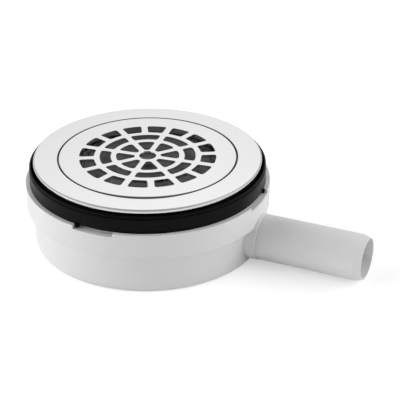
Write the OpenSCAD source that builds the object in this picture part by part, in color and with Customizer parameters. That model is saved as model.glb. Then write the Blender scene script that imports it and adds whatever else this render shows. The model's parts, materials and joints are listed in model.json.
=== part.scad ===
/* [Cover plate] */
// Outside diameter of the chromed flange ring
plate_d = 110; // [109.5:0.5:112]
// Thickness of the flange ring's brim
brim_t = 1.7; // [1.5:0.1:1.8]
// Radius of the rolled edge on top of the brim
brim_round = 0.85; // [0.4:0.05:0.9]
// Diameter of the loose grating disc
grating_d = 85.5; // [84.5:0.1:86]
// Gap between the grating disc and the wall of its recess
grating_gap = 0.6; // [0.3:0.05:0.7]
// Thickness of the grating disc, which is also the depth of its recess
grating_t = 1.5; // [1.2:0.1:1.8]
// Inside diameter of the ledge that carries the grating
ledge_inner_d = 67.4; // [67.2:0.1:68]
// Outside diameter of the sleeve that centres the flange ring in a 90 mm tray hole
sleeve_d = 88; // [87.6:0.1:88.4]

/* [Slots] */
// Diameter of the hole in the middle of the grating
hub_hole_d = 8.2; // [6:0.2:9]
// Reach of the lifting notch from the middle of the grating
hub_notch_reach = 4.9; // [4.6:0.1:5.2]
// Width of the lifting notch
hub_notch_w = 3.1; // [2:0.1:4]
// Number of wedge slots, and of arc slots
inner_slots = 8; // [6:1:10]
// Number of slots in the outer ring
outer_slots = 16; // [12:1:18]
// Inner radius of the wedge slots
wedge_r1 = 6.2; // [5.8:0.1:6.6]
// Outer radius of the wedge slots
wedge_r2 = 15.2; // [14:0.1:15.4]
// Inner radius of the arc slots
arc_r1 = 17.8; // [17.2:0.1:18.4]
// Outer radius of the arc slots
arc_r2 = 23.1; // [22.4:0.1:23.4]
// Inner radius of the outer slots
outer_r1 = 25.8; // [25.4:0.1:26.4]
// Outer radius of the outer slots
outer_r2 = 33; // [32:0.1:33.2]
// Width of the bars between the wedges and between the arcs
bar_w = 2.7; // [2.2:0.1:3]
// Width of the bars between the outer slots
outer_bar_w = 3.1; // [2.6:0.1:3.6]
// Radius of the corners of the arcs and the outer slots
slot_round = 1.2; // [0.6:0.1:1.6]
// Radius of the wedges' corners
wedge_round = 1.4; // [0.6:0.1:1.4]
// Turn of the first wedge slot from the outlet's direction
pattern_turn = -16.4; // [-22.5:0.1:22.5]

/* [Bowl] */
// Height from the floor to the top of the plate
total_h = 42.4; // [42:0.1:43]
// Outside diameter of the collar
collar_d = 118; // [117.6:0.1:119]
// Height of the collar's rim above the floor
collar_top = 31.4; // [31.2:0.1:31.6]
// Height of the collar's underside, where the bowl steps in
collar_bottom = 18.7; // [18.2:0.1:19]
// Outside diameter of the bowl at the floor
bowl_d = 111.2; // [110.6:0.1:111.6]
// Thickness of the bowl's wall
bowl_wall = 2.3; // [2:0.1:2.6]
// Thickness of the bowl's floor
floor_t = 2.4; // [2:0.1:2.6]
// Radius of the bowl's bottom edge
bowl_edge = 1.5; // [0.8:0.1:2]
// Depth of the notches in the collar's rim
notch_h = 1.7; // [1:0.1:2]
// Width of each notch, in degrees around the rim
notch_angle = 20; // [18:1:24]

/* [Outlet] */
// Outside diameter of the outlet pipe
pipe_d = 22; // [21.8:0.1:22.2]
// Wall of the outlet pipe
pipe_wall = 1.6; // [1.5:0.05:1.7]
// Distance from the bowl's axis to the pipe's open end
pipe_reach = 112; // [95:1:140]
// Distance from the bowl's axis to the pipe's inner end
pipe_start = 60.5; // [60.3:0.1:61.5]
// Height of the pipe's axis above the floor
pipe_z = 11.6; // [11.5:0.05:11.8]
// Length of the chamfer at the open end
chamfer_l = 3.7; // [2:0.1:5]
// Depth of the chamfer at the open end
chamfer_h = 1.1; // [0.6:0.1:1.2]
// Height of the shoulder where the bowl's neck meets the pipe
shoulder_h = 0.3; // [0.2:0.05:0.4]

/* [Trap] */
// Height of the weir's top above the floor
weir_h = 20; // [17:0.5:21]
// Outside diameter of the dip tube
dip_tube_d = 62; // [61.8:0.1:62.2]
// Height of the dip tube's lower end above the floor
dip_tube_low = 5.4; // [5:0.1:8]
// Diameter of the hair catcher's disc
catcher_d = 62; // [58:0.5:64]
// Height of the hair catcher's disc above the floor
catcher_top = 37.9; // [37.4:0.1:38.4]

/* [Hidden] */

$fn = 96;
// How far a cutting shape reaches past the face that it cuts
past = 1;

chrome = [0.86, 0.87, 0.88];
white = [0.95, 0.95, 0.94];
black = [0.07, 0.07, 0.07];
dark_grey = [0.22, 0.22, 0.23];
steel = [0.7, 0.7, 0.71];
brass = [0.8, 0.65, 0.3];

// Flange ring and grating
plate_r = plate_d/2;
recess_r = grating_d/2 + grating_gap;
recess_wall = 1.4;
ledge_t = 2.2;
ledge_top = total_h - grating_t;
ledge_bottom = ledge_top - ledge_t;
brim_bottom = total_h - brim_t;
ledge_inner_r = ledge_inner_d/2;
sleeve_wall = 1.4;
sleeve_bottom = 34.2;
plate_edge = 0.3;
// The lifting notch points to the wedge slot of this number
hub_notch_slot = 3;

// Clamp screws and their threaded inserts
screw_turn = 45;
screw_count = 4;
screw_pitch_r = 38.5;
screw_r = 2;
screw_hole_r = 2.2;
screw_head_r = 3.8;
screw_sink_r = 4;
screw_head_z = ledge_top - (screw_sink_r - screw_head_r);
screw_end = 27.2;
insert_r = 2.6;
insert_bore_r = screw_r;
insert_bottom = 27;
boss_r = 3.4;
boss_top = 33.6;
boss_bottom = 24.6;

// Seals
upper_seal_t = 1.3;
upper_seal_r1 = 45;
upper_seal_r2 = 54;
seal_crest = brim_bottom - upper_seal_t;
seal_r = 57;
seal_inner_r = 45.4;
seal_pad_bottom = 35.9;
seal_pad_top = seal_crest - 0.7;
seal_skirt_r = 55.1;
seal_rib_r = 0.6;
seal_lip_r = 0.5;
seal_groove_r = 0.45;
seal_groove_drop = 0.45;
seal_rib_places = [48, 50.5, 53];

// Cover ring
shelf_z = collar_bottom + bowl_wall;
collar_inner_r = 56.6;
cover_r = 56.4;
cover_wall = 1.8;
cover_wall_top = collar_top - 0.2;
cover_flange_r = 55;
cover_flange_t = 2.5;
neck_r = 44.5;
neck_wall = 2.1;
deck_bottom = 26;
deck_top = 28.5;
deck_bore_r = dip_tube_d/2 + 1.4;
deck_rebate_r = deck_bore_r + 1.2;
deck_rebate_z = 27.5;
deck_collar_wall = 2;
deck_collar_bottom = 24.5;
notch_back_r = 54.6;
cover_ribs = 12;
cover_rib_t = 1.6;
cover_rib_bottom = 27;
cover_seal_z = 25;
cover_seal_r = 0.9;
cover_seal_ring_r = collar_inner_r - cover_seal_r;

// Bowl, weir and neck of the outlet
notch_count = 4;
chamber_r = bowl_d/2 - bowl_wall;
bowl_draft = 0.3;
collar_edge = 0.6;
weir_r = 35;
weir_wall = 2;
pipe_r = pipe_d/2;
pipe_bore_r = pipe_r - pipe_wall;
outlet_neck_r = pipe_r + shoulder_h;
glue_gap = 0.05;
spigot_r = pipe_bore_r - glue_gap;
spigot_wall = 1.3;
spigot_end = pipe_start + 15;
outlet_bore_r = spigot_r - spigot_wall;
outlet_bore_start = 48;

// Dip tube and hair catcher
slide_gap = 0.2;
dip_r = dip_tube_d/2;
dip_wall = 1.5;
dip_top = 34.6;
dip_flange_r = deck_rebate_r - slide_gap;
dip_ridge_r = deck_bore_r - slide_gap;
dip_ridge_z = 24.9;
dip_ridge_t = 0.5;
dip_seal_r = 0.7;
dip_seal_z = 26.2;
dip_seat_z = 28.2;
dip_seat_t = 1.2;
dip_seat_w = 1.6;
dip_windows = 8;
dip_window_w = 14;
dip_window_top = 33.2;
catcher_t = 1.5;
catcher_edge = 0.5;
catcher_skirt_r = 28;
catcher_skirt_t = 1.6;
catcher_foot_r = 29.3;
catcher_foot_t = 1;
catcher_slots = 20;
catcher_slot_w = 3;
knob_r = 2.4;
knob_cap_r = 3;
knob_cap_t = 1;
knob_top = catcher_top + 2.4;

// A square with rounded corners, from its lower left corner
module rounded_square(size, r) {
  translate([r, 0]) square([size[0] - 2*r, size[1]]);
  translate([0, r]) square([size[0], size[1] - 2*r]);
  for (x = [r, size[0] - r], y = [r, size[1] - r])
    translate([x, y]) circle(r);
}

// A ring about the vertical axis, between two radii and two heights
module ring(r1, r2, z1, z2) {
  rotate_extrude() translate([r1, z1]) square([r2 - r1, z2 - z1]);
}

// The same ring with rounded edges
module soft_ring(r1, r2, z1, z2, edge) {
  rotate_extrude() translate([r1, z1]) rounded_square([r2 - r1, z2 - z1], edge);
}

// A stretch of ring, its middle at the angle turn
module ring_sector(r1, r2, z1, z2, turn, width) {
  rotate([0, 0, turn - width/2])
    rotate_extrude(angle = width) translate([r1, z1]) square([r2 - r1, z2 - z1]);
}

// An O-ring about the vertical axis
module o_ring(ring_r, cord_r, z) {
  translate([0, 0, z]) rotate_extrude() translate([ring_r, 0]) circle(cord_r);
}

// Places its children around the vertical axis
module around(count, turn = 0) {
  for (i = [0 : count - 1])
    rotate([0, 0, turn + i*360/count]) children();
}

// The sector of a ring that lies between two bars, in the plane, its middle on the X axis
module bar_gap(r1, r2, count, half_bar) {
  half_turn = 180/count;
  far = r2*2;
  start = half_bar/sin(half_turn);
  intersection() {
    difference() {
      circle(r2);
      circle(r1);
    }
    polygon([[start, 0],
             [start + far*cos(half_turn), far*sin(half_turn)],
             [start + far*cos(half_turn), -far*sin(half_turn)]]);
  }
}

// One slot of the grating in the plane, with its corners rounded
module slot_outline(r1, r2, count, bar, round) {
  half_turn = 180/count;
  corner = bar/2 + round;
  bar_gap(r1 + round, r2 - round, count, bar/2);
  bar_gap(r1, r2, count, corner);
  for (side = [-1, 1], r = [r1 + round, r2 - round])
    rotate(side*half_turn)
      translate([sqrt(r*r - corner*corner), -side*corner]) circle(round);
}

// A cutter for one slot of the grating
module slot(r1, r2, count, bar, round) {
  translate([0, 0, ledge_top - past])
    linear_extrude(grating_t + 2*past) slot_outline(r1, r2, count, bar, round);
}

// A disc about the vertical axis with a rounded edge
module soft_disc(r, z1, z2, edge) {
  rotate_extrude() translate([0, z1]) {
    square([r - edge, z2 - z1]);
    translate([0, edge]) square([r, z2 - z1 - 2*edge]);
    for (y = [edge, z2 - z1 - edge])
      translate([r - edge, y]) circle(edge);
  }
}

// Turns its children so that their Z axis lies on the axis of the outlet
module along_outlet() {
  translate([0, 0, pipe_z]) rotate([0, 90, 0]) children();
}

// Places its children at the clamp screw number n
module at_screw(n) {
  rotate([0, 0, screw_turn + (n - 1)*360/screw_count])
    translate([screw_pitch_r, 0, 0]) children();
}

// Flat disc with three rings of slots and a notched hub hole, loose in the flange ring's recess
module grating() {
  color(chrome) difference() {
    soft_disc(grating_d/2, ledge_top, total_h, plate_edge);
    translate([0, 0, ledge_top - past]) cylinder(h = grating_t + 2*past, d = hub_hole_d);
    rotate([0, 0, pattern_turn + hub_notch_slot*360/inner_slots])
      translate([0, -hub_notch_w/2, ledge_top - past])
        cube([hub_notch_reach, hub_notch_w, grating_t + 2*past]);
    around(inner_slots, pattern_turn)
      slot(wedge_r1, wedge_r2, inner_slots, bar_w, wedge_round);
    around(inner_slots, pattern_turn)
      slot(arc_r1, arc_r2, inner_slots, bar_w, slot_round);
    around(outer_slots, pattern_turn + 180/outer_slots)
      slot(outer_r1, outer_r2, outer_slots, outer_bar_w, slot_round);
  }
}

// Countersunk hole through the ledge
module ledge_hole() {
  sink_h = screw_sink_r - screw_hole_r;
  translate([0, 0, ledge_bottom - past]) cylinder(h = ledge_t + 2*past, r = screw_hole_r);
  translate([0, 0, ledge_top - sink_h])
    cylinder(h = sink_h, r1 = screw_hole_r, r2 = screw_sink_r);
  translate([0, 0, ledge_top]) cylinder(h = past, r = screw_sink_r);
}

// The brim as a profile: rolled on top of its rim, with small edges below and at the recess
module brim_profile() {
  brim_w = plate_r - recess_r;
  translate([recess_r, brim_bottom]) {
    square([plate_edge*2, brim_t - plate_edge]);
    rounded_square([brim_w - brim_round + plate_edge, brim_t], plate_edge);
    rounded_square([brim_w, brim_t - brim_round + plate_edge], plate_edge);
    translate([brim_w - brim_round, brim_t - brim_round]) circle(brim_round);
  }
}

// Brim with a rolled edge, a recess with its ledge, and the sleeve that enters the tray's hole
module flange_ring() {
  color(chrome) difference() {
    rotate_extrude() {
      brim_profile();
      translate([recess_r, ledge_bottom])
        square([recess_wall, brim_bottom + plate_edge - ledge_bottom]);
      translate([ledge_inner_r, ledge_bottom])
        square([recess_r + recess_wall - ledge_inner_r, ledge_t]);
      translate([sleeve_d/2 - sleeve_wall, sleeve_bottom])
        square([sleeve_wall, ledge_top - sleeve_bottom]);
    }
    for (n = [1 : screw_count]) at_screw(n) ledge_hole();
  }
}

// Countersunk screw with a cross recess, its thread left plain
module clamp_screw(n) {
  head_h = screw_head_r - screw_r;
  tip_h = 0.6;
  cross_l = 4.2;
  cross_w = 0.9;
  cross_h = 1.5;
  color(steel) at_screw(n) difference() {
    union() {
      translate([0, 0, screw_head_z - head_h]) cylinder(h = head_h, r1 = screw_r, r2 = screw_head_r);
      translate([0, 0, screw_end + tip_h])
        cylinder(h = screw_head_z - head_h - screw_end - tip_h, r = screw_r);
      translate([0, 0, screw_end]) cylinder(h = tip_h, r1 = screw_r - tip_h, r2 = screw_r);
    }
    for (turn = [0, 90])
      rotate([0, 0, turn]) translate([-cross_l/2, -cross_w/2, screw_head_z - cross_h])
        cube([cross_l, cross_w, cross_h + past]);
  }
}

module clamp_screw_1() { clamp_screw(1); }
module clamp_screw_2() { clamp_screw(2); }
module clamp_screw_3() { clamp_screw(3); }
module clamp_screw_4() { clamp_screw(4); }

// Brass insert: a bored plug with two bands that bite into the boss
module screw_insert(n) {
  band_h = 2.2;
  waist = 0.3;
  color(brass) at_screw(n) difference() {
    union() {
      translate([0, 0, insert_bottom]) cylinder(h = boss_top - insert_bottom, r = insert_r - waist);
      for (z = [insert_bottom + 0.6, boss_top - band_h - 0.4])
        translate([0, 0, z]) cylinder(h = band_h, r = insert_r);
    }
    translate([0, 0, insert_bottom - past])
      cylinder(h = boss_top - insert_bottom + 2*past, r = insert_bore_r);
  }
}

module screw_insert_1() { screw_insert(1); }
module screw_insert_2() { screw_insert(2); }
module screw_insert_3() { screw_insert(3); }
module screw_insert_4() { screw_insert(4); }

// Flat rubber washer between the brim and the tray
module upper_seal() {
  color(black) soft_ring(upper_seal_r1, upper_seal_r2, seal_crest, brim_bottom, 0.4);
}

// Rubber cap over the cover ring's flange: sealing ribs on top, a lip and a skirt outside
module main_seal() {
  pad_h = seal_pad_top - seal_pad_bottom;
  skirt_h = seal_pad_top - collar_top;
  corner = 0.25;
  color(black) rotate_extrude() difference() {
    union() {
      translate([seal_inner_r, seal_pad_bottom])
        rounded_square([seal_r - seal_inner_r, pad_h], corner);
      translate([seal_skirt_r, collar_top])
        rounded_square([seal_r - seal_skirt_r, skirt_h], corner);
      for (r = seal_rib_places)
        translate([r, seal_crest - seal_rib_r]) circle(seal_rib_r);
      translate([seal_r - seal_lip_r - 0.15, seal_pad_top]) circle(seal_lip_r);
    }
    translate([seal_r, seal_pad_top - seal_groove_drop]) circle(seal_groove_r);
  }
}

// Ring that closes the bowl: outer wall on the shelf, flange, neck, deck, screw bosses and ribs
module cover_ring() {
  inner_wall_r = cover_flange_r - cover_wall;
  web_t = 3;
  color(white) difference() {
    union() {
      ring(inner_wall_r, cover_r, shelf_z, cover_wall_top);
      ring(inner_wall_r, cover_flange_r, shelf_z, seal_pad_bottom);
      ring(neck_r, cover_flange_r, seal_pad_bottom - cover_flange_t, seal_pad_bottom);
      ring(neck_r, neck_r + neck_wall, deck_bottom, seal_pad_bottom);
      ring(deck_bore_r, neck_r + neck_wall, deck_bottom, deck_top);
      ring(deck_bore_r, deck_bore_r + deck_collar_wall, deck_collar_bottom, deck_top);
      for (n = [1 : screw_count]) at_screw(n) {
        translate([0, 0, boss_bottom]) cylinder(h = boss_top - boss_bottom, r = boss_r);
        translate([0, -web_t/2, deck_bottom])
          cube([neck_r + neck_wall/2 - screw_pitch_r, web_t, boss_top - deck_bottom]);
      }
      around(cover_ribs)
        translate([neck_r + neck_wall/2, -cover_rib_t/2, cover_rib_bottom])
          cube([inner_wall_r - neck_r, cover_rib_t, seal_pad_bottom - cover_rib_bottom - 1]);
    }
    for (i = [0 : notch_count - 1])
      ring_sector(notch_back_r, cover_r + past, collar_top - notch_h, collar_top,
                  i*360/notch_count, notch_angle);
    translate([0, 0, deck_rebate_z]) cylinder(h = deck_top - deck_rebate_z + past, r = deck_rebate_r);
    ring(cover_seal_ring_r - cover_seal_r, cover_r + past, cover_seal_z - 1, cover_seal_z + 1);
    for (n = [1 : screw_count]) at_screw(n) {
      translate([0, 0, insert_bottom]) cylinder(h = boss_top - insert_bottom + past, r = insert_r);
      translate([0, 0, boss_bottom + 1]) cylinder(h = boss_top - boss_bottom, r = screw_hole_r);
    }
  }
}

module cover_seal() {
  color(black) o_ring(cover_seal_ring_r, cover_seal_r, cover_seal_z);
}

// Outer form of the bowl and its collar, as a profile
module bowl_profile() {
  bowl_r = bowl_d/2;
  collar_r = collar_d/2;
  collar_h = collar_top - collar_bottom;
  square([bowl_r - bowl_edge, 2*bowl_edge]);
  translate([bowl_r - bowl_edge, bowl_edge]) circle(bowl_edge);
  polygon([[0, bowl_edge], [bowl_r, bowl_edge],
           [bowl_r + bowl_draft, collar_bottom], [0, collar_bottom]]);
  translate([0, collar_bottom]) square([collar_r - collar_edge, collar_h]);
  translate([0, collar_bottom + collar_edge]) square([collar_r, collar_h - collar_edge]);
  translate([collar_r - collar_edge, collar_bottom + collar_edge]) circle(collar_edge);
}

// White bowl with collar, shelf, notches, round weir and the spigot for the outlet pipe
module trap_body() {
  color(white) union() {
    difference() {
      union() {
        rotate_extrude() bowl_profile();
        along_outlet() translate([0, 0, outlet_bore_start])
          cylinder(h = pipe_start - shoulder_h - outlet_bore_start, r = outlet_neck_r);
        along_outlet() translate([0, 0, pipe_start - shoulder_h])
          cylinder(h = shoulder_h, r1 = outlet_neck_r, r2 = pipe_r);
        along_outlet() translate([0, 0, outlet_bore_start])
          cylinder(h = spigot_end - outlet_bore_start, r = spigot_r);
      }
      translate([0, 0, shelf_z]) cylinder(h = total_h, r = collar_inner_r);
      translate([0, 0, floor_t]) cylinder(h = total_h, r = chamber_r);
      along_outlet() translate([0, 0, outlet_bore_start])
        cylinder(h = spigot_end - outlet_bore_start + past, r = outlet_bore_r);
      for (i = [0 : notch_count - 1])
        ring_sector(collar_inner_r - past, collar_d/2 + past, collar_top - notch_h,
                    collar_top + past, i*360/notch_count, notch_angle);
    }
    ring(weir_r, weir_r + weir_wall, floor_t/2, weir_h);
  }
}

// Plain pipe, pushed over the spigot up to the shoulder of the neck
module outlet_pipe() {
  straight = pipe_reach - pipe_start - chamfer_l;
  color(white) along_outlet() translate([0, 0, pipe_start]) difference() {
    union() {
      cylinder(h = straight, r = pipe_r);
      translate([0, 0, straight]) cylinder(h = chamfer_l, r1 = pipe_r, r2 = pipe_r - chamfer_h);
    }
    translate([0, 0, -past]) cylinder(h = straight + chamfer_l + 2*past, r = pipe_bore_r);
  }
}

// Tube with a flange on the deck, ridges for its O-ring, a seat for the catcher and windows
module dip_tube() {
  inner_r = dip_r - dip_wall;
  mid_r = dip_r - dip_wall/2;
  color(dark_grey) difference() {
    union() {
      ring(inner_r, dip_r, dip_tube_low, dip_top);
      ring(mid_r, dip_ridge_r, dip_ridge_z, dip_ridge_z + dip_ridge_t);
      ring(mid_r, dip_ridge_r, deck_rebate_z - dip_ridge_t, deck_top);
      ring(mid_r, dip_flange_r, deck_rebate_z, deck_top);
      ring(inner_r - dip_seat_w, mid_r, dip_seat_z - dip_seat_t, dip_seat_z);
    }
    around(dip_windows, 180/dip_windows)
      translate([inner_r - past, -dip_window_w/2, deck_top + 0.2])
        cube([dip_wall + 2*past, dip_window_w, dip_window_top - deck_top - 0.2]);
  }
}

module dip_tube_seal() {
  color(black) o_ring(dip_r + dip_seal_r, dip_seal_r, dip_seal_z);
}

// Disc with a knob, on a slotted skirt that stands in the dip tube
module hair_catcher() {
  skirt_r = catcher_skirt_r - catcher_skirt_t;
  disc_bottom = catcher_top - catcher_t;
  slot_bottom = dip_seat_z + catcher_foot_t + 1;
  color(dark_grey) difference() {
    union() {
      soft_disc(catcher_d/2, disc_bottom, catcher_top, catcher_edge);
      ring(skirt_r, catcher_skirt_r, dip_seat_z, disc_bottom + catcher_t/2);
      ring(skirt_r, catcher_foot_r, dip_seat_z, dip_seat_z + catcher_foot_t);
      translate([0, 0, catcher_top - catcher_t/2])
        cylinder(h = knob_top - knob_cap_t/2 - catcher_top + catcher_t/2, r = knob_r);
      soft_disc(knob_cap_r, knob_top - knob_cap_t, knob_top, knob_cap_t/2.5);
    }
    around(catcher_slots)
      translate([skirt_r - past, -catcher_slot_w/2, slot_bottom])
        cube([catcher_skirt_t + 2*past, catcher_slot_w, disc_bottom - 0.8 - slot_bottom]);
  }
}

grating();
flange_ring();
clamp_screw_1();
clamp_screw_2();
clamp_screw_3();
clamp_screw_4();
upper_seal();
main_seal();
cover_ring();
screw_insert_1();
screw_insert_2();
screw_insert_3();
screw_insert_4();
cover_seal();
trap_body();
outlet_pipe();
dip_tube();
dip_tube_seal();
hair_catcher();
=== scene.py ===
import json
import math

import bmesh
import bpy
from mathutils import Matrix, Vector


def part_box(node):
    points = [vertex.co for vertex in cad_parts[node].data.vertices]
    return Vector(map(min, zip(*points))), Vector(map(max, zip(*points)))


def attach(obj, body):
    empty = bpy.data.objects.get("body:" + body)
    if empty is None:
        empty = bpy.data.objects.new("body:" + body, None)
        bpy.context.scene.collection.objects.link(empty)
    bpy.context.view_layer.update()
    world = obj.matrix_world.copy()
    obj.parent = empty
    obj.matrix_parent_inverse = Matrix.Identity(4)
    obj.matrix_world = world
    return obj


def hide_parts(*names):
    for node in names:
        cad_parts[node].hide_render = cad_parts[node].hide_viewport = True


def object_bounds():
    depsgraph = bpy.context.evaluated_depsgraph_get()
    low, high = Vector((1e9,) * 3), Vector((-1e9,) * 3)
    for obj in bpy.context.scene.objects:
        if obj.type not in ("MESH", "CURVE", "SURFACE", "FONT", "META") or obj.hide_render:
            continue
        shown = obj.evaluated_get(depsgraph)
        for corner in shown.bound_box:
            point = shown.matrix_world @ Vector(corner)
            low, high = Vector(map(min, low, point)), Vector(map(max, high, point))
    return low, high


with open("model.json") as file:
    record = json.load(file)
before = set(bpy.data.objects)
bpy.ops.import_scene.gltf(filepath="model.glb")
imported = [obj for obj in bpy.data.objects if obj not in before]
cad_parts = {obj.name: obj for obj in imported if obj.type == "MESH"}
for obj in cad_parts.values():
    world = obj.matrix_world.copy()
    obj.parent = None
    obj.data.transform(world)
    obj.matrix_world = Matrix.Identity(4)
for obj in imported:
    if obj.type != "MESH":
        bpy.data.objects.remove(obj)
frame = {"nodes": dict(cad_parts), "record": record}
CAD_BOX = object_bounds()

# Sizes are in metres, apart from those of the main seal, which are in millimetres as in the CAD
MM_PER_METRE = 1000

# The photograph's width and where the middle of the plate lies in it, in pixels
IMAGE_PX = 400
PLATE_CENTRE_PX = (147.7, 155.6)

# The camera: focal length in pixels, pitch, turn about the object, distance to the plate, width
# of the sensor and the nearest that it sees
FOCAL_PX = 1396
CAMERA_PITCH = math.radians(28.3)
CAMERA_TURN = math.radians(23.8)
CAMERA_DISTANCE = 0.672
SENSOR_MM = 36
NEAREST_VIEW = 0.01

# Brightness of the room all round it, at rising heights from the horizon to the zenith
SKY_HEIGHTS = (0, 0.25, 0.5, 0.75, 1)
SKY_ALL_ROUND = (0.40, 0.18, 0.02, 0.03, 0.20)

# The room's back, left and right walls as the camera sees them: the way to each, the power that
# keeps its light to that way, what it adds at those heights, and the share of it that mirrors
# and glossy skins show
SKY_WALLS = (
    ((0, 1, 0), 10, (0.40, 0.30, 1.17, 0.40, 0), 1),
    ((-1, 0, 0), 3.8, (3.90, 3.90, 3.00, 0.80, 0), 0.2),
    ((1, 0, 0), 4.2, (1.50, 2.30, 3.00, 2.10, 0), 0.25),
)

# How much of the white background metal and gloss show in place of the room
SKY_IN_METAL = 0.3

# The floor: half its width, how far it lies under the bowl, its grey, and how much whiter than
# it is lit it shows to the camera, and to metal
FLOOR_REACH = 6.0
FLOOR_DROP = 0.0002
FLOOR_GREY = 0.9
FLOOR_WHITE = 0.42
FLOOR_IN_METAL = 0.1

# The middle of the plate's top
PLATE_CENTRE = Vector((0, 0, CAD_BOX[1][2]))

# The brim: its radius, the radius of its rolled edge, and how far in from its side and down from
# its top its exact normals are used
BRIM_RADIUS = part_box("flange_ring")[1][0]
BRIM_ROUND = 0.00085
BRIM_TOP_WIDTH = 0.005
BRIM_DEPTH = 0.0016

# The fine bead along the collar's lower edge: the collar's radius and underside, the bead's
# height, and how far the surface tips at its foot and at its top
COLLAR_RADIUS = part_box("trap_body")[1][1]
COLLAR_BOTTOM = 0.0187
BEAD_HEIGHT = 0.0013
BEAD_TIP = (-0.35, 0.45)

# The main seal, in millimetres: its bore, the flat pad's underside and top, the sealing ribs,
# the lip along the outer edge, the groove under the lip, how far under the lip the outer face
# starts, the inside of the skirt and the radius of its corners
SEAL_INNER = 45.4
SEAL_PAD = (35.9, 38.7)
SEAL_RIBS = (48, 50.5, 53)
SEAL_RIB_ROUND = 0.6
SEAL_LIP = (56.4, 39.5)
SEAL_LIP_ROUND = 0.5
SEAL_GROOVE_DROP = 0.6
SEAL_GROOVE_ROUND = 0.6
SEAL_FACE_DROP = 1.05
SEAL_SKIRT = 55.1
SEAL_CORNER = 0.25
SEAL_TURNS = 240

# Small black blocks of the seal in the collar's notches, put as painted shade where the notches'
# ends lie in shade: their middles in degrees round the bowl, their width in degrees, and how far
# out from the axis and between which heights they reach, in millimetres
SEAL_SHADE_BLOCKS = (9, 81, 189, 261)
SEAL_SHADE_BLOCK_WIDTH = 1.7
SEAL_SHADE_BLOCK_OUT = (55.3, 57.9)
SEAL_SHADE_BLOCK_HEIGHT = (30.1, 31.9)
SEAL_SHADE_BLOCK_ROUND = 0.25

# The seam round the grating: the grating's radius and half the gap round it, the distances to
# each side between which its painted shade ends, the depths between which the chrome is
# darkened as painted shade, how dark that painted shade gets, and how far to each side its top
# edges carry a painted dark line of shade: least all round, and how much more towards one side
SEAM_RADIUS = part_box("grating")[1][0] + 0.0003
SEAM_REACH = (0.003, 0.004)
SEAM_DEPTH = (0.00002, 0.00012)
SEAM_SHADE = 0.95
SEAM_EDGE_SHADE = 0.0004
SEAM_EDGE_SHADE_MORE = 0.0008
SEAM_EDGE_SHADE_SIDE = (0.4, -0.915, 0)
SEAM_EDGE_SHADE_SHARPNESS = 7


def turned(vector):
    """A direction of the camera's own frame, turned to the side that the camera looks from."""
    return Matrix.Rotation(CAMERA_TURN, 3, "Z") @ Vector(vector)


def add_camera():
    """The photograph's camera, which keeps the middle of the plate at its place in the picture."""
    forward = Vector((0, math.cos(CAMERA_PITCH), -math.sin(CAMERA_PITCH)))
    down = Vector((0, -math.sin(CAMERA_PITCH), -math.cos(CAMERA_PITCH)))
    sideways = (PLATE_CENTRE_PX[0] - IMAGE_PX / 2) / FOCAL_PX
    below = (PLATE_CENTRE_PX[1] - IMAGE_PX / 2) / FOCAL_PX
    ray = (Vector((sideways, 0, 0)) + down * below + forward).normalized()
    data = bpy.data.cameras.new("camera")
    data.sensor_width = SENSOR_MM
    data.lens = FOCAL_PX * SENSOR_MM / IMAGE_PX
    data.clip_start = NEAREST_VIEW
    camera = bpy.data.objects.new("camera", data)
    camera.location = PLATE_CENTRE - turned(ray) * CAMERA_DISTANCE
    camera.rotation_euler = (math.pi / 2 - CAMERA_PITCH, 0, CAMERA_TURN)
    bpy.context.scene.collection.objects.link(camera)
    bpy.context.scene.camera = camera


def grey(level):
    return (level, level, level)


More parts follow.
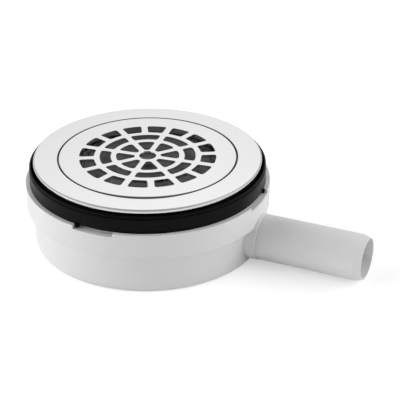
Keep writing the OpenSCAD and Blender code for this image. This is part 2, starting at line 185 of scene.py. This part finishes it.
class Shader:
    """A material or world node tree with short calls for its nodes and links."""

    def __init__(self, owner):
        owner.use_nodes = True
        self.tree = owner.node_tree
        self.tree.nodes.clear()

    def node(self, kind, settings=None, **inputs):
        made = self.tree.nodes.new(kind)
        for key, value in (settings or {}).items():
            setattr(made, key, value)
        for key, value in inputs.items():
            self.set(made.inputs[key.replace("_", " ")], value)
        return made

    def set(self, socket, value):
        if isinstance(value, bpy.types.NodeSocket):
            self.tree.links.new(value, socket)
        else:
            socket.default_value = value

    def math(self, operation, *values):
        made = self.node("ShaderNodeMath", {"operation": operation})
        for socket, value in zip(made.inputs, values):
            self.set(socket, value)
        return made.outputs[0]

    def vector(self, operation, first, second=None, output="Vector"):
        made = self.node("ShaderNodeVectorMath", {"operation": operation})
        self.set(made.inputs[0], first)
        if second is not None:
            self.set(made.inputs[1], second)
        return made.outputs[output]

    def mix(self, kind, fac, first, second):
        """Two colours (RGBA) or vectors (VECTOR): the first where fac is 0, the second where 1."""
        name = {"RGBA": "Color", "VECTOR": "Vector"}[kind]
        wanted = {"Factor_Float": fac, "A_" + name: first, "B_" + name: second}
        made = self.node("ShaderNodeMix", {"data_type": kind})
        for socket in made.inputs:
            if socket.identifier in wanted:
                self.set(socket, wanted[socket.identifier])
        return next(one for one in made.outputs if one.identifier == "Result_" + name)

    def ramp(self, fac, low, high, start=0.0, end=1.0):
        """A number that runs from low to high while fac runs from start to end."""
        made = self.node("ShaderNodeMapRange", Value=fac, From_Min=start, From_Max=end,
                         To_Min=low, To_Max=high)
        return made.outputs["Result"]

    def tint(self, fac, low, high):
        """A colour that runs from low to high while fac runs from 0 to 1."""
        made = self.node("ShaderNodeValToRGB", Fac=fac)
        for stop, colour in zip(made.color_ramp.elements, (low, high)):
            stop.color = (*colour, 1)
        return made.outputs["Color"]

    def steps(self, fac, places, values):
        """A number that runs straight from each value to the next, at the given places."""
        top = max(values)
        made = self.node("ShaderNodeValToRGB", Fac=fac)
        stops = made.color_ramp.elements
        while len(stops) < len(places):
            stops.new(1)
        for stop, place, value in zip(stops, places, values):
            stop.position = place
            stop.color = (*grey(value / top), 1)
        return self.math("MULTIPLY", made.outputs["Color"], top)

    def place(self):
        return self.node("ShaderNodeTexCoord").outputs["Object"]

    def noise(self, scale, detail):
        made = self.node("ShaderNodeTexNoise", Vector=self.place(), Scale=scale, Detail=detail)
        return made.outputs["Fac"]

    def height_and_radius(self):
        """Height above the floor and distance from the axis of the bowl, both in metres."""
        split = self.node("ShaderNodeSeparateXYZ", Vector=self.place()).outputs
        square = self.math("MULTIPLY", split["Y"], split["Y"])
        square = self.math("MULTIPLY_ADD", split["X"], split["X"], square)
        return split["Z"], self.math("SQRT", square)

    def level(self, direction):
        """The level part of a direction, brought to a length of one."""
        return self.vector("NORMALIZE", self.vector("MULTIPLY", direction, (1, 1, 0)))

    def facing(self, direction, way, sharpness):
        """How far a direction points one way: 1 straight along it, 0 across it and backwards."""
        along = self.vector("DOT_PRODUCT", direction, way, "Value")
        return self.math("POWER", self.math("MAXIMUM", along, 0), sharpness)

    def upward(self, length):
        return self.node("ShaderNodeCombineXYZ", Z=length).outputs[0]

    def own_normal(self):
        return self.node("ShaderNodeNewGeometry").outputs["Normal"]

    def rolled_edge_normal(self, z, radius):
        """The exact normal of the brim's top, rolled edge and side; the mesh's own elsewhere."""
        across = self.math("MAXIMUM", self.math("SUBTRACT", radius, BRIM_RADIUS - BRIM_ROUND), 0)
        up = self.math("MAXIMUM", self.math("SUBTRACT", z, PLATE_CENTRE.z - BRIM_ROUND), 0)
        spread = self.node("ShaderNodeCombineXYZ", X=across, Y=across).outputs[0]
        outward = self.vector("MULTIPLY", self.level(self.place()), spread)
        exact = self.vector("ADD", outward, self.upward(up))
        far_out = self.math("GREATER_THAN", radius, BRIM_RADIUS - BRIM_TOP_WIDTH)
        high = self.math("GREATER_THAN", z, PLATE_CENTRE.z - BRIM_DEPTH)
        on_brim = self.math("MULTIPLY", far_out, high)
        return self.vector("NORMALIZE", self.mix("VECTOR", on_brim, self.own_normal(), exact))

    def bead_normal(self):
        """The mesh's own normal, tipped over a fine bead along the collar's lower edge."""
        z, radius = self.height_and_radius()
        over = self.math("SUBTRACT", z, COLLAR_BOTTOM)
        tip = self.ramp(over, *BEAD_TIP, 0, BEAD_HEIGHT)
        from_middle = self.math("ABSOLUTE", self.math("SUBTRACT", over, BEAD_HEIGHT / 2))
        from_collar = self.math("ABSOLUTE", self.math("SUBTRACT", radius, COLLAR_RADIUS))
        farthest = self.math("MAXIMUM", from_middle, from_collar)
        on_bead = self.math("LESS_THAN", farthest, BEAD_HEIGHT / 2)
        tipped = self.upward(self.math("MULTIPLY", tip, on_bead))
        return self.vector("NORMALIZE", self.vector("ADD", self.own_normal(), tipped))

    def bump(self, height, distance, strength, normal=None):
        made = self.node("ShaderNodeBump", Height=height, Distance=distance, Strength=strength)
        if normal:
            self.set(made.inputs["Normal"], normal)
        return made.outputs["Normal"]

    def surface(self, colour, roughness, normal, **constants):
        made = self.node("ShaderNodeBsdfPrincipled", Base_Color=colour, Roughness=roughness,
                         Normal=normal, **constants)
        self.node("ShaderNodeOutputMaterial", Surface=made.outputs[0])


def new_material(name):
    material = bpy.data.materials.new(name)
    return material, Shader(material)


def chrome():
    """Mirror chrome, darkened with painted shade inside the seam round the grating and along its
    edges.
    """
    material, s = new_material("chrome")
    z, radius = s.height_and_radius()
    # Painted shade: near the seam the chrome turns dark and rougher below the top, and on top
    # along the seam's edges, more towards one side
    from_seam = s.math("ABSOLUTE", s.math("SUBTRACT", radius, SEAM_RADIUS))
    near = s.ramp(from_seam, 1, 0, *SEAM_REACH)
    depth = s.math("SUBTRACT", PLATE_CENTRE.z, z)
    inside = s.math("MULTIPLY", s.ramp(depth, 0, SEAM_SHADE, *SEAM_DEPTH), near)
    side = s.facing(s.level(s.place()), SEAM_EDGE_SHADE_SIDE, SEAM_EDGE_SHADE_SHARPNESS)
    reach = s.math("MULTIPLY_ADD", side, SEAM_EDGE_SHADE_MORE, SEAM_EDGE_SHADE)
    edge_shade = s.math("MULTIPLY", s.math("LESS_THAN", from_seam, reach), SEAM_SHADE)
    seam_shade = s.math("MAXIMUM", inside, edge_shade)
    bright = s.tint(s.noise(18, 2), grey(0.79), grey(0.82))
    # The dark colour of the seam's painted shade
    dark = s.tint(s.noise(200, 3), grey(0.10), grey(0.16))
    rough = s.math("MULTIPLY_ADD", seam_shade, 0.3, s.ramp(s.noise(350, 4), 0.05, 0.11))
    wave = s.bump(s.noise(25, 1), 0.0004, 0.08, s.rolled_edge_normal(z, radius))
    s.surface(s.mix("RGBA", seam_shade, bright, dark), rough, wave, Metallic=1.0)
    return material


def white_plastic(name, tint_scale, light_depth):
    """White moulded plastic that light enters to the given depth."""
    material, s = new_material(name)
    tint = s.tint(s.noise(tint_scale, 3), grey(0.80), grey(0.84))
    rough = s.ramp(s.noise(260, 4), 0.28, 0.42)
    skin = s.bump(s.noise(900, 2), 0.00005, 0.25, s.bead_normal())
    s.surface(tint, rough, skin, IOR=1.5, Subsurface_Weight=0.5,
              Subsurface_Radius=(1, 1, 1), Subsurface_Scale=light_depth)
    return material


def black_rubber(name, specular, low, high):
    """Black rubber with the given specular level, its roughness between low and high."""
    material, s = new_material(name)
    tint = s.tint(s.noise(120, 4), grey(0.001), grey(0.003))
    rough = s.ramp(s.noise(300, 3), low, high)
    skin = s.bump(s.noise(1800, 2), 0.00005, 0.15)
    s.surface(tint, rough, skin, Specular_IOR_Level=specular)
    return material


def grey_plastic():
    """Dark grey moulded plastic, faintly blue."""
    material, s = new_material("grey_plastic")
    tint = s.tint(s.noise(90, 3), (0.135, 0.135, 0.138), (0.16, 0.16, 0.163))
    rough = s.ramp(s.noise(400, 3), 0.42, 0.52)
    skin = s.bump(s.noise(1200, 2), 0.00005, 0.2)
    s.surface(tint, rough, skin, Specular_IOR_Level=0.5)
    return material


def turned_metal(name, low, high):
    """Bare turned metal, its colour between low and high."""
    material, s = new_material(name)
    tint = s.tint(s.noise(600, 3), low, high)
    rough = s.ramp(s.noise(900, 3), 0.2, 0.35)
    s.surface(tint, rough, s.bump(s.noise(1500, 2), 0.00005, 0.3), Metallic=1.0)
    return material


def arc(centre, radius, start, end, steps):
    """Points (radius, height) on an arc, from the start to the end angle in degrees."""
    angles = (math.radians(start + (end - start) * step / steps) for step in range(steps + 1))
    return [(centre[0] + radius * math.cos(a), centre[1] + radius * math.sin(a)) for a in angles]


def lathe(name, outline, material):
    """A closed outline of (radius, height) points in millimetres, turned about the bowl's axis."""
    grid = bmesh.new()
    rings = []
    for turn in range(SEAL_TURNS):
        angle = 2 * math.pi * turn / SEAL_TURNS
        points = [(r * math.cos(angle), r * math.sin(angle), z) for r, z in outline]
        rings.append([grid.verts.new([size / MM_PER_METRE for size in point]) for point in points])
    for ring, after in zip(rings, rings[1:] + rings[:1]):
        for k in range(len(outline)):
            j = (k + 1) % len(outline)
            grid.faces.new((ring[k], after[k], after[j], ring[j])).smooth = True
    bmesh.ops.recalc_face_normals(grid, faces=grid.faces)
    mesh = bpy.data.meshes.new(name)
    grid.to_mesh(mesh)
    grid.free()
    mesh.materials.append(material)
    piece = bpy.data.objects.new(name, mesh)
    bpy.context.scene.collection.objects.link(piece)
    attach(piece, "root")
    return piece


def add_shade_block(seal, middle):
    """A small rounded black block under the seal's skirt at the end of a collar notch, put as
    painted shade where that end lies in shade.
    """
    inner, outer = SEAL_SHADE_BLOCK_OUT
    low, high = SEAL_SHADE_BLOCK_HEIGHT
    width = math.radians(SEAL_SHADE_BLOCK_WIDTH) * outer
    size = Vector((outer - inner, width, high - low)) / MM_PER_METRE
    place = Vector(((inner + outer) / 2, 0, (low + high) / 2)) / MM_PER_METRE
    spot = Matrix.Rotation(math.radians(middle), 4, "Z") @ Matrix.Translation(place)
    grid = bmesh.new()
    grid.from_mesh(seal.data)
    block = bmesh.ops.create_cube(grid, size=1, matrix=spot @ Matrix.Diagonal((*size, 1)))
    edges = list(dict.fromkeys(edge for vert in block["verts"] for edge in vert.link_edges))
    bmesh.ops.bevel(grid, geom=edges, offset=SEAL_SHADE_BLOCK_ROUND / MM_PER_METRE, segments=3,
                    affect="EDGES", profile=0.5)
    grid.to_mesh(seal.data)
    grid.free()


def add_seal(material):
    """The main seal with its raised lip, the crisp groove under it and the black blocks put as
    painted shade at the ends of the collar's notches.
    """
    low, high = (corner * MM_PER_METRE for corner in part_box("main_seal"))
    outer, bottom, crest = high.x, low.z, high.z
    pad_bottom, pad_top = SEAL_PAD
    lip_r, lip_z = SEAL_LIP
    inner_r = SEAL_INNER + SEAL_CORNER
    outer_r = outer - SEAL_CORNER
    foot_z = bottom + SEAL_CORNER
    outline = arc((inner_r, pad_bottom + SEAL_CORNER), SEAL_CORNER, 270, 180, 4)
    outline += arc((inner_r, pad_top - SEAL_CORNER), SEAL_CORNER, 180, 90, 4)
    for radius in SEAL_RIBS:
        outline += arc((radius, crest - SEAL_RIB_ROUND), SEAL_RIB_ROUND, 190, -10, 8)
    outline += arc((lip_r, lip_z), SEAL_LIP_ROUND, 190, -20, 10)
    outline += arc((outer, lip_z - SEAL_GROOVE_DROP), SEAL_GROOVE_ROUND, 130, 235, 8)
    outline += arc((outer_r, lip_z - SEAL_FACE_DROP - SEAL_CORNER), SEAL_CORNER, 80, 0, 4)
    outline += arc((outer_r, foot_z), SEAL_CORNER, 0, -90, 4)
    outline += arc((SEAL_SKIRT + SEAL_CORNER, foot_z), SEAL_CORNER, 270, 180, 4)
    outline += [(SEAL_SKIRT, pad_bottom)]
    seal = lathe("main_seal_detailed", outline, material)
    # Black blocks at the ends of the collar's notches, as painted shade
    for middle in SEAL_SHADE_BLOCKS:
        add_shade_block(seal, middle)
    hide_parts("main_seal")


def add_floor():
    """A large pale floor, white to the camera, that keeps the object's shadow."""
    far = FLOOR_REACH
    mesh = bpy.data.meshes.new("floor")
    mesh.from_pydata([(-far, -far, 0), (far, -far, 0), (far, far, 0), (-far, far, 0)], [],
                     [(0, 1, 2, 3)])
    floor = bpy.data.objects.new("floor", mesh)
    floor.location.z = -FLOOR_DROP
    bpy.context.scene.collection.objects.link(floor)
    material, s = new_material("floor")
    path = s.node("ShaderNodeLightPath").outputs
    direct = s.math("MAXIMUM", path["Is Camera Ray"], path["Is Transmission Ray"])
    mirrored = s.math("MULTIPLY", path["Is Glossy Ray"], FLOOR_IN_METAL)
    whiter = s.math("MULTIPLY_ADD", direct, FLOOR_WHITE, mirrored)
    light = s.node("ShaderNodeEmission", Color=(1, 1, 1, 1), Strength=whiter)
    diffuse = s.node("ShaderNodeBsdfDiffuse", Color=(*grey(FLOOR_GREY), 1))
    both = s.node("ShaderNodeAddShader")
    s.set(both.inputs[0], diffuse.outputs[0])
    s.set(both.inputs[1], light.outputs[0])
    s.node("ShaderNodeOutputMaterial", Surface=both.outputs[0])
    mesh.materials.append(material)


def add_world():
    """White to the camera; to the object, a soft room whose walls differ in brightness."""
    world = bpy.data.worlds.new("world")
    bpy.context.scene.world = world
    s = Shader(world)
    way = s.node("ShaderNodeTexCoord").outputs["Generated"]
    level = s.level(way)
    height = s.node("ShaderNodeSeparateXYZ", Vector=way).outputs["Z"]
    light = s.steps(height, SKY_HEIGHTS, SKY_ALL_ROUND)
    path = s.node("ShaderNodeLightPath").outputs
    for direction, sharpness, brightness, mirrored in SKY_WALLS:
        facing = s.facing(level, turned(direction), sharpness)
        seen = s.math("MULTIPLY_ADD", path["Is Glossy Ray"], mirrored - 1, 1)
        share = s.math("MULTIPLY", facing, seen)
        light = s.math("MULTIPLY_ADD", share, s.steps(height, SKY_HEIGHTS, brightness), light)
    room = s.node("ShaderNodeBackground", Color=(1, 1, 1, 1), Strength=light)
    white = s.node("ShaderNodeBackground", Color=(1, 1, 1, 1), Strength=1.0)
    direct = s.math("MAXIMUM", path["Is Camera Ray"], path["Is Transmission Ray"])
    share = s.math("MULTIPLY_ADD", path["Is Glossy Ray"], SKY_IN_METAL, direct)
    mix = s.node("ShaderNodeMixShader", Fac=share)
    s.set(mix.inputs[1], room.outputs[0])
    s.set(mix.inputs[2], white.outputs[0])
    s.node("ShaderNodeOutputWorld", Surface=mix.outputs[0])


def dress():
    """Gives each CAD node the material of its slot in the record."""
    by_slot = {
        "chrome_plate": chrome(),
        "white_plastic": white_plastic("white_plastic", 30, 0.0012),
        "white_pipe": white_plastic("white_pipe", 37, 0.003),
        "black_rubber": black_rubber("black_rubber", 0.06, 0.40, 0.50),
        "seal_rubber": black_rubber("seal_rubber", 0.3, 0.30, 0.40),
        "grey_plastic": grey_plastic(),
        "screw_steel": turned_metal("screw_steel", (0.5, 0.5, 0.51), (0.62, 0.62, 0.63)),
        "insert_brass": turned_metal("insert_brass", (0.6, 0.42, 0.16), (0.75, 0.55, 0.25)),
    }
    for part in frame["record"]["subparts"]:
        node = frame["nodes"][part["node"]]
        node.data.materials.clear()
        node.data.materials.append(by_slot[part["material_slot"]])


add_camera()
add_floor()
add_world()
dress()
add_seal(black_rubber("smooth_rubber", 0.1, 0.28, 0.36))
bpy.context.scene.view_settings.view_transform = "Standard"
